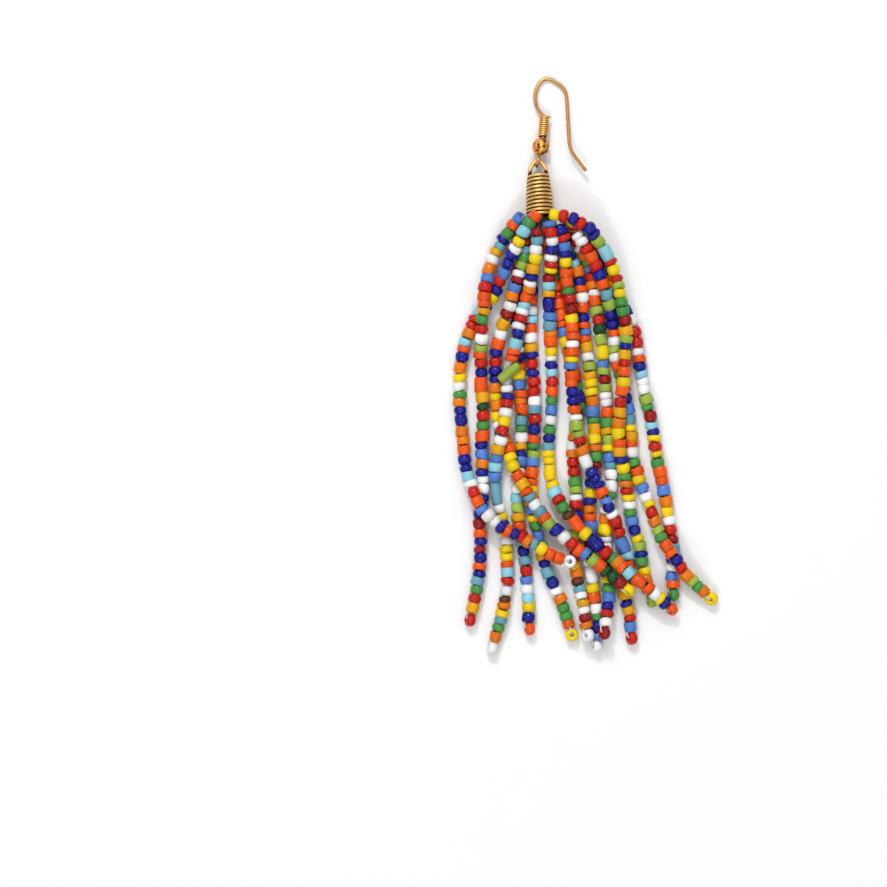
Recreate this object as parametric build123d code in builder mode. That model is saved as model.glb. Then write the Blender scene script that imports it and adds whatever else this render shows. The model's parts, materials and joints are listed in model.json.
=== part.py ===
"""Beaded fringe earring, lying flat: fish-hook ear wire, wire cone and fourteen strings of seed beads.

Millimetres, +Z up. The earring lies on the plane z = 0 with its hook towards +Y and its fringe towards -Y.
The origin is at the middle of the whole outline, on the surface that the earring lies on.
"""

import os
from math import cos, pi, radians, sin, tan

from build123d import *

os.makedirs("parts", exist_ok=True)

# Where the earring lies
mouth_x = -8.62  # middle of the cone's mouth, where every string of beads starts
mouth_y = 28.7
rest_gap = 0.05  # room left under the ball
cone_overhang = 0.35  # how far the cone comes down over the place where the strings start
cone_yaw = 2.0  # degrees, the cone's lean to the left
cone_rise = 9.0  # degrees, the mouth end stands on the beads below it
hook_yaw = 12.5  # degrees, the ear wire's lean to the right
hook_droop = 5.5  # degrees, the crown of the ear wire hangs down to the surface

# Ear wire
ear_wire_dia = 0.68
link_gap = 0.18  # between the ear wire's eye and the bail that passes through it
eye_seat_share = 0.3  # of the wire's radius, how far over the eye's centre line the shank starts
shank_bend = 8.0  # degrees, in the coil
shank_bend_radius = 2.0
neck_bend = 54.0  # degrees, where the wire leaves the coil
neck_radius = 0.5
neck_start = 0.3  # how deep in the coil the neck starts to bend
back_turn = 89.0  # degrees, the bend behind the ear
back_radius = 4.7
top_turn = 83.0  # degrees
top_radius = 1.8
slope_run = 1.3
shoulder_turn = 54.5  # degrees
shoulder_radius = 3.4
front_leg = 8.4
kick_turn = 34.0  # degrees, the tail's kick away from the neck
kick_radius = 5.4
tail_run = 3.55

# Ball and fine coil on the ear wire
ball_dia = 3.3
ball_bore_gap = 0.05
seat_gap = 0.05  # between the eye, the ball and the coil
coil_wire_dia = 0.4
coil_outer_dia = 2.0
coil_pitch = 0.38
coil_turns = 11

# Cone of close wire turns, with its bail
cone_wire_dia = 0.78
cone_pitch = 0.75
cone_turns = 11
cone_top_dia = 4.1
cone_fullness = 0.45  # below 1, the turns widen quickly under the top one
cone_mouth_dia = 5.4
web_share = 0.4  # solder between two turns, as a share of the wire
bail_height = 3.1
bail_half_angle = 30.0  # degrees
bail_shoulder_share = 0.9  # shoulder's half width, as a share of the top turn's radius
bail_shoulder_radius = 0.9
bail_bend_radius = 1.1

# Threads in the mouth
core_gap = 0.12
core_depth = 4.5
knot_reach = 0.9
knot_radius = 1.1
thread_dia = 0.3
thread_gap = 0.5

# Strings of beads, each as a tube of the beads' width
bead_dia = 2.4
corner_share = 0.45  # of the shorter run beside a corner, used up by the corner's arc

# Each string's route from the mouth: across to the right, down the fringe, lift over the lowest layer
strand_routes = [
    [(-2.0, 1.3, 4.6), (-3.7, 4.8, 4.6), (-6.3, 9.8, 2.8), (-8.5, 15.6, 0.1), (-12.6, 19.8, 0),
     (-14.9, 26.3, 0), (-15.5, 33.7, 0), (-14.9, 41.7, 0), (-14.1, 49.8, 0.7), (-11.8, 55.6, 2.7),
     (-8.1, 59.6, 2.6), (-4.5, 61.5, 2.5), (-0.4, 63.7, 2.5), (2.6, 65.6, 2.4), (5.7, 66.5, 2.3)],
    [(-3.9, 0.9, 2.8), (-6.8, 4.4, 1.3), (-9.7, 9.8, 0.2), (-10.7, 16.0, 2.6), (-11.0, 21.0, 2.6),
     (-11.5, 27.9, 0.2), (-10.8, 37.9, 0), (-11.2, 46.2, 0), (-10.8, 52.9, 0), (-11.6, 59.0, 0),
     (-11.2, 66.7, 0), (-12.2, 72.9, 0), (-13.3, 77.8, 0)],
    [(-2.1, 4.4, 2.3), (-2.9, 8.3, 2.4), (-4.7, 13.7, 2.5), (-6.2, 19.0, 2.1), (-8.1, 24.2, 0.4),
     (-8.5, 30.2, 0), (-8.2, 35.6, 0), (-8.3, 40.0, 0), (-6.2, 43.8, 0.2), (-5.1, 48.7, 2.6),
     (-1.8, 54.6, 2.6), (1.5, 59.2, 2.0), (5.5, 62.7, 2.5), (9.4, 65.6, 2.5), (13.2, 68.8, 2.7),
     (17.0, 72.0, 2.5)],
    [(-0.6, 3.9, 4.9), (-0.7, 7.3, 4.8), (-1.8, 13.3, 2.9), (-3.5, 19.0, 2.6), (-4.7, 25.0, 2.6),
     (-6.2, 31.3, 1.9), (-6.2, 37.1, 2.0), (-7.4, 42.9, 3.1), (-8.7, 47.9, 1.0), (-8.4, 54.8, 0),
     (-6.6, 60.6, 0), (-6.0, 67.9, 0), (-6.7, 76.0, 0), (-9.1, 83.2, 0)],
    [(-3.7, 3.1, 0), (-4.2, 8.3, 0), (-4.4, 14.8, 0), (-4.3, 22.1, 0), (-4.0, 30.2, 0), (-3.5, 37.1, 0),
     (-3.5, 43.3, 0), (-3.7, 47.9, 0), (-4.6, 54.4, 0), (-3.9, 59.6, 0), (-2.9, 65.6, 0), (-2.2, 72.7, 0),
     (-1.9, 79.5, 0)],
    [(-1.2, 4.6, 0), (-1.6, 11.0, 0), (-1.5, 18.7, 0), (-1.7, 26.0, 0), (-0.8, 35.6, 0), (-1.0, 44.2, 0),
     (-1.8, 54.8, 0), (-0.2, 61.5, 0), (1.1, 67.9, 0), (4.3, 74.1, 0), (6.2, 80.6, 0)],
    [(2.0, 3.1, 4.8), (2.3, 7.5, 3.6), (1.7, 13.3, 2.2), (2.0, 20.6, 0.9), (2.3, 27.5, 0), (2.4, 35.4, 0),
     (1.8, 43.1, 0), (1.7, 50.4, 0), (4.0, 56.2, 2.2), (8.0, 60.4, 2.6), (12.6, 64.8, 2.6),
     (17.6, 69.0, 2.5), (21.8, 72.4, 2.6), (25.3, 75.7, 0.8)],
    [(4.2, 3.6, 3.4), (4.8, 7.5, 2.7), (5.1, 13.3, 2.1), (6.5, 21.0, 1.9), (5.9, 27.5, 2.6),
     (6.1, 34.0, 2.2), (7.2, 42.1, 2.6), (8.4, 47.1, 2.3), (11.1, 51.3, 2.6), (13.4, 56.5, 2.6),
     (15.3, 61.3, 0.8), (17.3, 66.9, 0), (16.1, 72.1, 0), (17.4, 76.7, 0), (17.7, 81.3, 0)],
    [(1.3, 4.8, 0), (2.3, 9.6, 0), (3.8, 16.3, 0), (4.6, 22.7, 0), (6.3, 29.0, 0), (7.4, 34.0, 0),
     (7.4, 39.0, 0), (6.1, 44.8, 0), (6.9, 50.6, 0), (7.0, 57.5, 0), (6.7, 63.5, 0), (6.7, 68.3, 0),
     (8.0, 72.5, 0.9), (8.5, 76.7, 1.2), (9.2, 80.6, 1.8)],
    [(3.75, 5.2, 0), (5.7, 7.7, 0), (7.6, 11.7, 0), (8.2, 17.1, 0), (8.8, 24.0, 0), (9.6, 30.2, 0),
     (10.2, 37.5, 0), (10.7, 44.6, 0), (10.9, 48.3, 0), (9.6, 53.3, 0), (9.7, 60.6, 0), (9.6, 67.5, 0),
     (10.6, 73.7, 0), (11.2, 78.3, 0), (11.0, 82.8, 0)],
    [(4.6, 2.9, 0.7), (7.6, 5.4, 0.1), (10.0, 10.6, 0), (10.8, 16.7, 0), (11.8, 23.7, 0), (12.3, 30.2, 0),
     (13.1, 37.4, 0), (13.2, 44.6, 0), (14.0, 52.5, 0), (12.3, 57.9, 0), (13.0, 65.6, 0), (13.3, 71.7, 0.2),
     (13.1, 76.1, 1.3), (12.3, 80.2, 2.5)],
    [(2.4, 0.4, 5.0), (6.0, 0.9, 5.1), (9.6, 3.0, 4.5), (12.3, 6.9, 2.9), (14.6, 11.7, 2.5),
     (15.5, 16.3, 2.7), (16.6, 22.1, 2.1), (16.3, 27.5, 2.2), (15.8, 32.7, 2.8), (14.9, 41.0, 1.9),
     (15.4, 46.3, 1.8), (16.6, 51.3, 0.3), (17.4, 57.1, 0), (18.9, 62.5, 0), (20.1, 68.7, 0),
     (21.5, 74.2, 0)],
    [(6.7, 3.7, 3.6), (9.4, 7.1, 2.9), (11.3, 11.5, 2.3), (13.0, 15.8, 1.6), (14.3, 21.7, 0),
     (14.5, 27.1, 0), (15.9, 32.5, 0), (17.3, 38.7, 0), (17.7, 45.6, 0), (19.0, 50.6, 0), (21.1, 55.6, 0),
     (22.8, 61.2, 1.6), (25.7, 66.0, 2.8), (29.1, 70.2, 1.1), (33.0, 73.7, 0)],
    [(4.5, 0.9, 2.6), (9.0, 2.75, 1.7), (12.1, 7.7, 0.1), (13.8, 12.5, 0), (15.5, 16.7, 0), (18.0, 21.0, 0),
     (19.0, 27.1, 0), (19.8, 32.5, 0), (21.5, 39.8, 0), (22.4, 46.2, 0), (24.0, 52.9, 0), (24.9, 60.0, 0),
     (25.9, 64.0, 0), (25.1, 68.3, 0), (25.7, 72.9, 0)],
]

# Sizes that follow from the ones above
ball_radius = ball_dia / 2
cone_wire_radius = cone_wire_dia / 2
eye_radius = cone_wire_radius + link_gap + ear_wire_dia / 2
ball_reach = eye_radius + ear_wire_dia / 2 + seat_gap + ball_radius
coil_reach = ball_reach + ball_radius + seat_gap
coil_length = (coil_turns - 1) * coil_pitch + coil_wire_dia
cone_length = (cone_turns - 1) * cone_pitch
top_turn_radius = cone_top_dia / 2 - cone_wire_radius
mouth_turn_radius = cone_mouth_dia / 2 - cone_wire_radius
link_height = ball_radius + rest_gap + ball_reach * sin(radians(hook_droop))
bend_length = shank_bend_radius * radians(shank_bend)
coil_angle = 90 + shank_bend
leg_angle = coil_angle + neck_bend - back_turn - top_turn - shoulder_turn
mouth_height = link_height + (cone_length + bail_height) * sin(radians(cone_rise))


def lying_plane(origin, lean_left, droop):
    """A plane whose Y runs up the earring, leaning to the left and down towards the surface, in degrees."""
    lean = radians(lean_left)
    fall = radians(droop)
    across = Vector(cos(lean), sin(lean), 0)
    upwards = Vector(-sin(lean) * cos(fall), cos(lean) * cos(fall), -sin(fall))
    return Plane(origin=origin, x_dir=across, z_dir=across.cross(upwards))


def from_mouth(across, down, lift):
    """A point given from the mouth, its height given over the lowest layer of beads."""
    return Vector(mouth_x + across, mouth_y - down, bead_dia / 2 + lift)


cone_plane = lying_plane((mouth_x, mouth_y - cone_overhang, mouth_height), cone_yaw, cone_rise)
link_point = cone_plane.from_local_coords((0, cone_length + bail_height, 0))
hook_plane = lying_plane(link_point, -hook_yaw, hook_droop)
knot_centre = cone_plane.from_local_coords((0, -knot_reach, 0))

# Ear wire: a closed eye across the hook's own plane, then one bent wire
with BuildPart() as ear_hook:
    with BuildLine(hook_plane) as ear_wire:
        shank = Line((0, eye_radius + eye_seat_share * ear_wire_dia / 2), (0, coil_reach))
        in_coil = JernArc(shank @ 1, (0, 1), shank_bend_radius, shank_bend)
        coil_stretch = PolarLine(in_coil @ 1, coil_length - bend_length - neck_start, coil_angle)
        neck = JernArc(coil_stretch @ 1, coil_stretch % 1, neck_radius, neck_bend)
        back = JernArc(neck @ 1, neck % 1, back_radius, -back_turn)
        top = JernArc(back @ 1, back % 1, top_radius, -top_turn)
        slope = PolarLine(top @ 1, slope_run, leg_angle + shoulder_turn)
        shoulder = JernArc(slope @ 1, slope % 1, shoulder_radius, -shoulder_turn)
        leg = PolarLine(shoulder @ 1, front_leg, leg_angle)
        kick = JernArc(leg @ 1, leg % 1, kick_radius, kick_turn)
        tail = PolarLine(kick @ 1, tail_run, leg_angle + kick_turn)
    with BuildSketch(Plane(origin=ear_wire.line @ 0, z_dir=hook_plane.y_dir)):
        Circle(ear_wire_dia / 2)
    sweep(path=ear_wire.line)
    with BuildSketch(hook_plane):
        with Locations((0, eye_radius)):
            Circle(ear_wire_dia / 2)
    revolve(axis=Axis(link_point, hook_plane.x_dir))
ear_hook.part.label = "ear_hook"
export_step(ear_hook.part, "parts/ear_hook.step")

# Ball, drilled for the ear wire
ball_plane = Plane(origin=hook_plane.from_local_coords((0, ball_reach, 0)), z_dir=hook_plane.y_dir)
with BuildPart(ball_plane) as hook_ball:
    Sphere(ball_radius)
    Cylinder(ear_wire_dia / 2 + ball_bore_gap, ball_dia, mode=Mode.SUBTRACT)
hook_ball.part.label = "hook_ball"
export_step(hook_ball.part, "parts/hook_ball.step")

# Fine coil, its turns closed up and soldered
coil_plane = Plane(origin=in_coil @ 1, x_dir=(in_coil % 1).cross(hook_plane.z_dir), z_dir=hook_plane.z_dir)
coil_turn_radius = (coil_outer_dia - coil_wire_dia) / 2
first_turn = coil_wire_dia / 2 - bend_length
with BuildPart() as hook_coil:
    with BuildSketch(coil_plane):
        for turn in range(coil_turns):
            with Locations((coil_turn_radius, first_turn + turn * coil_pitch)):
                Circle(coil_wire_dia / 2)
        with Locations((coil_turn_radius, first_turn + (coil_turns - 1) * coil_pitch / 2)):
            Rectangle(web_share * coil_wire_dia, (coil_turns - 1) * coil_pitch)
    revolve(axis=Axis(coil_plane.origin, coil_plane.y_dir))
hook_coil.part.label = "hook_coil"
export_step(hook_coil.part, "parts/hook_coil.step")


def turn_radius(height):
    """The radius of the cone's turns at a height over its mouth, to the middle of the wire."""
    from_top = 1 - height / cone_length
    return top_turn_radius + (mouth_turn_radius - top_turn_radius) * from_top**cone_fullness


# Cone of close turns, widening to the mouth, and the bail of the same wire through the ear wire's eye
web_half = web_share * cone_wire_dia / 2
turn_heights = [turn * cone_pitch for turn in range(cone_turns)]
web_outside = [(turn_radius(height) + web_half, height) for height in turn_heights]
web_inside = [(turn_radius(height) - web_half, height) for height in reversed(turn_heights)]
shoulder_across = bail_shoulder_share * top_turn_radius
apex_corner = bail_height + bail_bend_radius * (1 / sin(radians(bail_half_angle)) - 1)
shoulder_up = apex_corner - shoulder_across / tan(radians(bail_half_angle))
with BuildPart() as wire_cone:
    with BuildSketch(cone_plane):
        for height in turn_heights:
            with Locations((turn_radius(height), height)):
                Circle(cone_wire_radius)
        with BuildLine():
            Polyline(*web_outside, *web_inside, close=True)
        make_face()
    revolve(axis=Axis(cone_plane.origin, cone_plane.y_dir))
    with BuildLine(cone_plane) as bail:
        FilletPolyline(
            (-top_turn_radius, cone_length),
            (-shoulder_across, cone_length + shoulder_up),
            (0, cone_length + apex_corner),
            (shoulder_across, cone_length + shoulder_up),
            (top_turn_radius, cone_length),
            radius=[bail_shoulder_radius, bail_bend_radius, bail_shoulder_radius],
        )
    with BuildSketch(Plane(origin=bail.line @ 0, z_dir=bail.line % 0)):
        Circle(cone_wire_radius)
    sweep(path=bail.line)
wire_cone.part.label = "wire_cone"
export_step(wire_cone.part, "parts/wire_cone.step")

# Knotted threads: a plug inside the cone, a knot in its mouth and one thread to each string
core_mouth_radius = mouth_turn_radius - cone_wire_radius - core_gap
core_top_radius = turn_radius(core_depth) - cone_wire_radius - core_gap
with BuildPart() as thread_core:
    with BuildSketch(cone_plane):
        with BuildLine():
            Polyline(
                (0, -knot_reach),
                (knot_radius, -knot_reach),
                (core_mouth_radius, 0),
                (core_top_radius, core_depth),
                (0, core_depth),
                close=True,
            )
        make_face()
    revolve(axis=Axis(cone_plane.origin, cone_plane.y_dir))
    with Locations(knot_centre):
        Sphere(knot_radius)
    for route in strand_routes:
        reach = from_mouth(*route[0]) - knot_centre
        with BuildSketch(Plane(origin=knot_centre, z_dir=reach)):
            Circle(thread_dia / 2)
        extrude(amount=reach.length - thread_gap)
thread_core.part.label = "thread_core"
export_step(thread_core.part, "parts/thread_core.step")


def corner_radius(before, corner, after):
    """The largest tangent arc that its two runs allow at a corner of a route."""
    turn = radians((corner - before).get_angle(after - corner))
    shorter_run = min((corner - before).length, (after - corner).length)
    return corner_share * shorter_run / tan(turn / 2)


def make_strand(number, route):
    """One string of beads as a tube along its route, written to its own file."""
    points = [from_mouth(*place) for place in route]
    corner_radii = [corner_radius(*points[i - 1 : i + 2]) for i in range(1, len(points) - 1)]
    with BuildPart() as strand:
        with BuildLine() as path:
            FilletPolyline(*points, radius=corner_radii)
        with BuildSketch(Plane(origin=path.line @ 0, z_dir=path.line % 0)):
            Circle(bead_dia / 2)
        sweep(path=path.line)
    name = f"bead_strand_{number:02d}"
    strand.part.label = name
    export_step(strand.part, f"parts/{name}.step")
    length = path.wires()[0].length
    expected = pi * bead_dia**2 / 4 * length
    smallest = min(corner_radii)
    print(f"{name}: length {length:.1f}, volume {strand.part.volume / expected:.4f} of expected,"
          f" radii {', '.join(f'{r:.0f}' for r in corner_radii)}, smallest {smallest:.1f}")


for number, route in enumerate(strand_routes, start=1):
    make_strand(number, route)
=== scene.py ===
"""Beaded fringe earring lying on a pale table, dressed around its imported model.

Metres, in the model's own frame: the earring lies on z = 0, with its hook towards +Y and its fringe
towards -Y.
"""

import json
import logging
from collections.abc import Callable
from dataclasses import dataclass, field
from enum import Enum, IntEnum
from math import cos, pi, radians, sin, tan, tau
from typing import Any

import bmesh
import bpy
from mathutils import Matrix, Vector

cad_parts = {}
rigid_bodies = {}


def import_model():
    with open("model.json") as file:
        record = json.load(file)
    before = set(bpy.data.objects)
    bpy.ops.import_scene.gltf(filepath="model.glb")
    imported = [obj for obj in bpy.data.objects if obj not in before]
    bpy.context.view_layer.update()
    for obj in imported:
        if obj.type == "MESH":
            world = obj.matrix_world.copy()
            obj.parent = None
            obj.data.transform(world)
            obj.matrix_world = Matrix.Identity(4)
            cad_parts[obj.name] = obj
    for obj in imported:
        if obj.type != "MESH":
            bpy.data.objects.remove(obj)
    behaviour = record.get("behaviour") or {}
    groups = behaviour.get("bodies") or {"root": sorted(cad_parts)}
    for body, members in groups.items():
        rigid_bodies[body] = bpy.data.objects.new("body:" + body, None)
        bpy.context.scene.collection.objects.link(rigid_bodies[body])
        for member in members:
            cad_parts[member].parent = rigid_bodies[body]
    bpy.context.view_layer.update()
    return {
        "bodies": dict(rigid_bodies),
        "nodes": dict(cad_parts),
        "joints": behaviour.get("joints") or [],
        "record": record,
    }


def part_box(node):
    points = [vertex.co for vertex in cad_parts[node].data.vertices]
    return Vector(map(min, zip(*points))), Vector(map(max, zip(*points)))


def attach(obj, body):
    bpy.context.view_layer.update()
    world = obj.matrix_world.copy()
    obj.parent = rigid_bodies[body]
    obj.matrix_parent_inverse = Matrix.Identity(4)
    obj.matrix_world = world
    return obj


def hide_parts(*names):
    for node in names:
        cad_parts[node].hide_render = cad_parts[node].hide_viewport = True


LOG = logging.getLogger("earring")
MM = 0.001
BODY = "root"
THREAD_RADIUS = 0.14 * MM
THREAD_SIDES = 6

# Stands for a bead or a glass that isn't asked for, in place of its number.
NO_BEAD = -1

Colour = tuple[float, float, float, float]
Place = tuple[float, float, float]

BLACK: Colour = (0.0, 0.0, 0.0, 1.0)
WHITE: Colour = (1.0, 1.0, 1.0, 1.0)


def lying_frame(origin: Vector, lean_left: float, droop: float) -> Matrix:
    """A frame whose Y runs up the earring, leaning to the left and down towards the table.

    Args:
        origin: the frame's origin.
        lean_left: the lean to the left, in degrees.
        droop: how far Y points down, in degrees.

    Returns:
        The matrix from the frame to the model.
    """
    lean, fall = radians(lean_left), radians(droop)
    across = Vector((cos(lean), sin(lean), 0))
    upwards = Vector((-sin(lean) * cos(fall), cos(lean) * cos(fall), -sin(fall)))
    outwards = across.cross(upwards)
    turned = Matrix((across, upwards, outwards)).transposed()
    return Matrix.Translation(origin) @ turned.to_4x4()


def box_middle(node: str) -> Vector:
    """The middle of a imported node's box."""
    low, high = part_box(node)
    return (low + high) / 2


def math_operator(operation: str, reflected: bool = False) -> Callable[["Wire", Any], "Wire"]:
    """One of the operators of a wire.

    Args:
        operation: the Math node's operation.
        reflected: whether the wire stands on the right of the operator.

    Returns:
        The method that adds the Math node.
    """
    def combine(wire: "Wire", other: Any) -> "Wire":
        """One Math node on the wire and the other value."""
        values = (other, wire) if reflected else (wire, other)
        return wire.graph.maths(operation, *values)
    return combine


class Wire:
    """An output socket in an expression, where each operator adds one Math node."""

    __add__ = math_operator("ADD")
    __radd__ = math_operator("ADD", reflected=True)
    __sub__ = math_operator("SUBTRACT")
    __rsub__ = math_operator("SUBTRACT", reflected=True)
    __mul__ = math_operator("MULTIPLY")
    __rmul__ = math_operator("MULTIPLY", reflected=True)
    __truediv__ = math_operator("DIVIDE")
    __rtruediv__ = math_operator("DIVIDE", reflected=True)
    __gt__ = math_operator("GREATER_THAN")

    def __init__(self, graph: "Graph", socket: bpy.types.NodeSocket) -> None:
        """Keeps the graph and the socket."""
        self.graph = graph
        self.socket = socket

    def maths(self, operation: str, *others: Any) -> "Wire":
        """One Math node on this value, and on the others that its operation takes."""
        return self.graph.maths(operation, self, *others)

    def output(self, name: str) -> "Wire":
        """Another output of the same node."""
        found = next(s for s in self.socket.node.outputs if s.name == name and s.enabled)
        return Wire(self.graph, found)


class Graph:
    """A node tree that is filled in one call at a time."""

    def __init__(self, tree: bpy.types.NodeTree) -> None:
        """Keeps the tree."""
        self.tree = tree

    def node(
        self, kind: str, settings: dict[str, Any] | None = None, values: dict[Any, Any] | None = None
    ) -> Wire:
        """Adds one node, its settings first and then what goes into its sockets.

        Args:
            kind: the node's type.
            settings: the node's properties; "stops" holds a ramp's places and colours, and "items" is how
                many values a switch chooses from.
            values: numbers, colours, wires or lists of wires, by the socket's name or number.

        Returns:
            The node's first output that is in use, if it has one.
        """
        made = self.tree.nodes.new(kind)
        for name, value in (settings or {}).items():
            if name == "stops":
                self.fill_ramp(made.color_ramp, value)
            elif name == "items":
                while len(made.index_switch_items) < value:
                    made.index_switch_items.new()
            else:
                setattr(made, name, value)
        for name, value in (values or {}).items():
            self.feed(self.socket(made, name), value)
        return Wire(self, next((s for s in made.outputs if s.enabled), None))

    def maths(self, operation: str, *values: Any) -> Wire:
        """One Math node on these values."""
        return self.node("ShaderNodeMath", {"operation": operation}, dict(enumerate(values)))

    def socket(self, made: bpy.types.Node, name: str | int) -> bpy.types.NodeSocket:
        """Finds an input socket of a node.

        Args:
            made: the node.
            name: the socket's name or number.

        Returns:
            The socket of that number, or the one of that name that is in use.
        """
        if isinstance(name, int):
            return made.inputs[name]
        return next(s for s in made.inputs if s.name == name and s.enabled)

    def feed(self, socket: bpy.types.NodeSocket, value: Any) -> None:
        """Sets a socket, or links it.

        Args:
            socket: the input socket.
            value: a plain value, a wire, or a list of wires for a socket that takes several.
        """
        if isinstance(value, Wire):
            self.tree.links.new(value.socket, socket)
        elif isinstance(value, list):
            for wire in reversed(value):
                self.tree.links.new(wire.socket, socket)
        else:
            socket.default_value = value

    def fill_ramp(self, ramp: bpy.types.ColorRamp, stops: list[tuple[float, Colour]]) -> None:
        """Gives a colour ramp its stops.

        Args:
            ramp: the ramp, with no more stops yet than it will have.
            stops: the place and colour of each stop, in order.
        """
        while len(ramp.elements) < len(stops):
            ramp.elements.new(1.0)
        for element, (place, colour) in zip(ramp.elements, stops):
            element.position = place
            element.color = colour


class Shape(Graph):
    """A Geometry Nodes tree with named inputs."""

    def __init__(self, name: str, inputs: dict[str, str]) -> None:
        """Starts the tree.

        Args:
            name: the tree's name.
            inputs: each input's name and the kind of its socket.
        """
        super().__init__(bpy.data.node_groups.new(name, "GeometryNodeTree"))
        face = self.tree.interface
        face.new_socket("Geometry", in_out="INPUT", socket_type="NodeSocketGeometry")
        face.new_socket("Geometry", in_out="OUTPUT", socket_type="NodeSocketGeometry")
        for title, kind in inputs.items():
            face.new_socket(title, in_out="INPUT", socket_type=f"NodeSocket{kind}")
        self.entry = self.tree.nodes.new("NodeGroupInput")
        self.exit = self.tree.nodes.new("NodeGroupOutput")

    def __getitem__(self, name: str) -> Wire:
        """The tree's input of that name."""
        return Wire(self, next(s for s in self.entry.outputs if s.name == name))

    def leave(self, geometry: Wire, material: Wire, chosen: Any = True) -> None:
        """Ends the tree: real geometry, smooth, with its material, out of the tree.

        Args:
            geometry: what the tree has made.
            material: the material that it gets.
            chosen: which of its faces get it.
        """
        solid = self.node("GeometryNodeRealizeInstances", {}, {"Geometry": geometry})
        smooth = self.node("GeometryNodeSetShadeSmooth", {}, {"Geometry": solid, "Shade Smooth": True})
        values = {"Geometry": smooth, "Selection": chosen, "Material": material}
        self.feed(self.exit.inputs["Geometry"], self.node("GeometryNodeSetMaterial", {}, values))

    def grow(self, piece: bpy.types.Object, values: dict[str, Any]) -> None:
        """Runs the tree on a piece and keeps the result as the piece's plain mesh.

        Args:
            piece: the object that the tree works on.
            values: what goes into the tree's inputs, by their names.
        """
        modifier = piece.modifiers.new(self.tree.name, "NODES")
        modifier.node_group = self.tree
        for item in self.tree.interface.items_tree:
            if item.item_type == "SOCKET" and item.in_out == "INPUT" and item.name in values:
                modifier[item.identifier] = values[item.name]
        settle(piece)

    def random(self, low: Any, high: Any, salt: int, kind: str = "FLOAT") -> Wire:
        """A random value for each element, from the tree's seed and a salt of its own."""
        values = {"Min": low, "Max": high, "Seed": self["Seed"] + salt}
        return self.node("FunctionNodeRandomValue", {"data_type": kind}, values)

    def vector(self, operation: str, *values: Any) -> Wire:
        """One Vector Math node on these values."""
        return self.node("ShaderNodeVectorMath", {"operation": operation}, dict(enumerate(values)))

    def scaled(self, vector: Any, scale: Any) -> Wire:
        """A vector times a number."""
        return self.node("ShaderNodeVectorMath", {"operation": "SCALE"}, {"Vector": vector, "Scale": scale})

    def xyz(self, x: Any = 0.0, y: Any = 0.0, z: Any = 0.0) -> Wire:
        """A vector from its three parts."""
        return self.node("ShaderNodeCombineXYZ", {}, {"X": x, "Y": y, "Z": z})

    def place(self) -> Wire:
        """The X of each point's place; its other outputs hold the Y and the Z."""
        return self.node("ShaderNodeSeparateXYZ", {}, {"Vector": self.node("GeometryNodeInputPosition")})

    def moved(self, geometry: Wire, values: dict[str, Wire]) -> Wire:
        """The geometry with its points at a new Position, or moved by an Offset."""
        return self.node("GeometryNodeSetPosition", {}, {"Geometry": geometry} | values)

    def marked(self, geometry: Wire, name: str, value: Wire, domain: str = "POINT") -> Wire:
        """The geometry with a number of that name on each of its points or instances."""
        settings = {"data_type": "FLOAT", "domain": domain}
        values = {"Geometry": geometry, "Name": name, "Value": value}
        return self.node("GeometryNodeStoreNamedAttribute", settings, values)

    def joined(self, *parts: Wire) -> Wire:
        """Several geometries as one."""
        return self.node("GeometryNodeJoinGeometry", {}, {"Geometry": list(parts)})

    def curve(self, edges: Wire) -> Wire:
        """A mesh of edges as a curve."""
        return self.node("GeometryNodeMeshToCurve", {}, {"Mesh": edges})

    def tube(self, path: Wire, radius: Wire, sides: Any) -> Wire:
        """A round closed tube along a curve."""
        profile = self.node("GeometryNodeCurvePrimitiveCircle", {}, {"Resolution": sides, "Radius": radius})
        values = {"Curve": path, "Profile Curve": profile, "Fill Caps": True}
        return self.node("GeometryNodeCurveToMesh", {}, values)


class ThreadShape(Shape):
    """A thread along each line of a mesh of edges."""

    def __init__(self) -> None:
        """Builds the tree."""
        super().__init__("threads", {"Radius": "Float", "Thread": "Material"})
        self.leave(self.tube(self.curve(self["Geometry"]), self["Radius"], THREAD_SIDES), self["Thread"])


def settle(piece: bpy.types.Object) -> None:
    """Makes what a piece's modifiers give into its plain mesh, and removes them.

    Args:
        piece: the piece, which is in the scene.
    """
    bpy.context.view_layer.update()
    depsgraph = bpy.context.evaluated_depsgraph_get()
    shaped = piece.evaluated_get(depsgraph)
    mesh = bpy.data.meshes.new_from_object(shaped, preserve_all_data_layers=True, depsgraph=depsgraph)
    piece.modifiers.clear()
    piece.data = mesh


def new_piece(name: str, data: bpy.types.ID) -> bpy.types.Object:
    """Puts a new object in the scene.

    Args:
        name: the object's name.
        data: its mesh, curve, light or camera.

    Returns:
        The object.
    """
    piece = bpy.data.objects.new(name, data)
    bpy.context.scene.collection.objects.link(piece)
    return piece


def lathe(name: str, profile: list[tuple[float, float]], sides: int, slant: float = 0.0) -> bpy.types.Mesh:
    """Turns a closed profile about Z.

    Args:
        name: the mesh's name.
        profile: radius and height of each point of the closed profile.
        sides: how many copies of the profile go round.
        slant: how far the upper end tips, as a share of the radius.

    Returns:
        A closed ring with its faces outwards.
    """
    shape = bmesh.new()
    rings = []
    for side in range(sides):
        angle = tau * side / sides
        ring = []
        for radius, height in profile:
            tip = slant * radius * cos(angle) if height > 0 else 0.0
            ring.append(shape.verts.new((radius * cos(angle), radius * sin(angle), height + tip)))
        rings.append(ring)
    for side, ring in enumerate(rings):
        after = rings[(side + 1) % sides]
        for place in range(len(profile)):
            ahead = (place + 1) % len(profile)
            face = shape.faces.new((ring[place], after[place], after[ahead], ring[ahead]))
            face.smooth = True
    bmesh.ops.recalc_face_normals(shape, faces=shape.faces)
    mesh = bpy.data.meshes.new(name)
    shape.to_mesh(mesh)
    shape.free()
    return mesh


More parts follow.
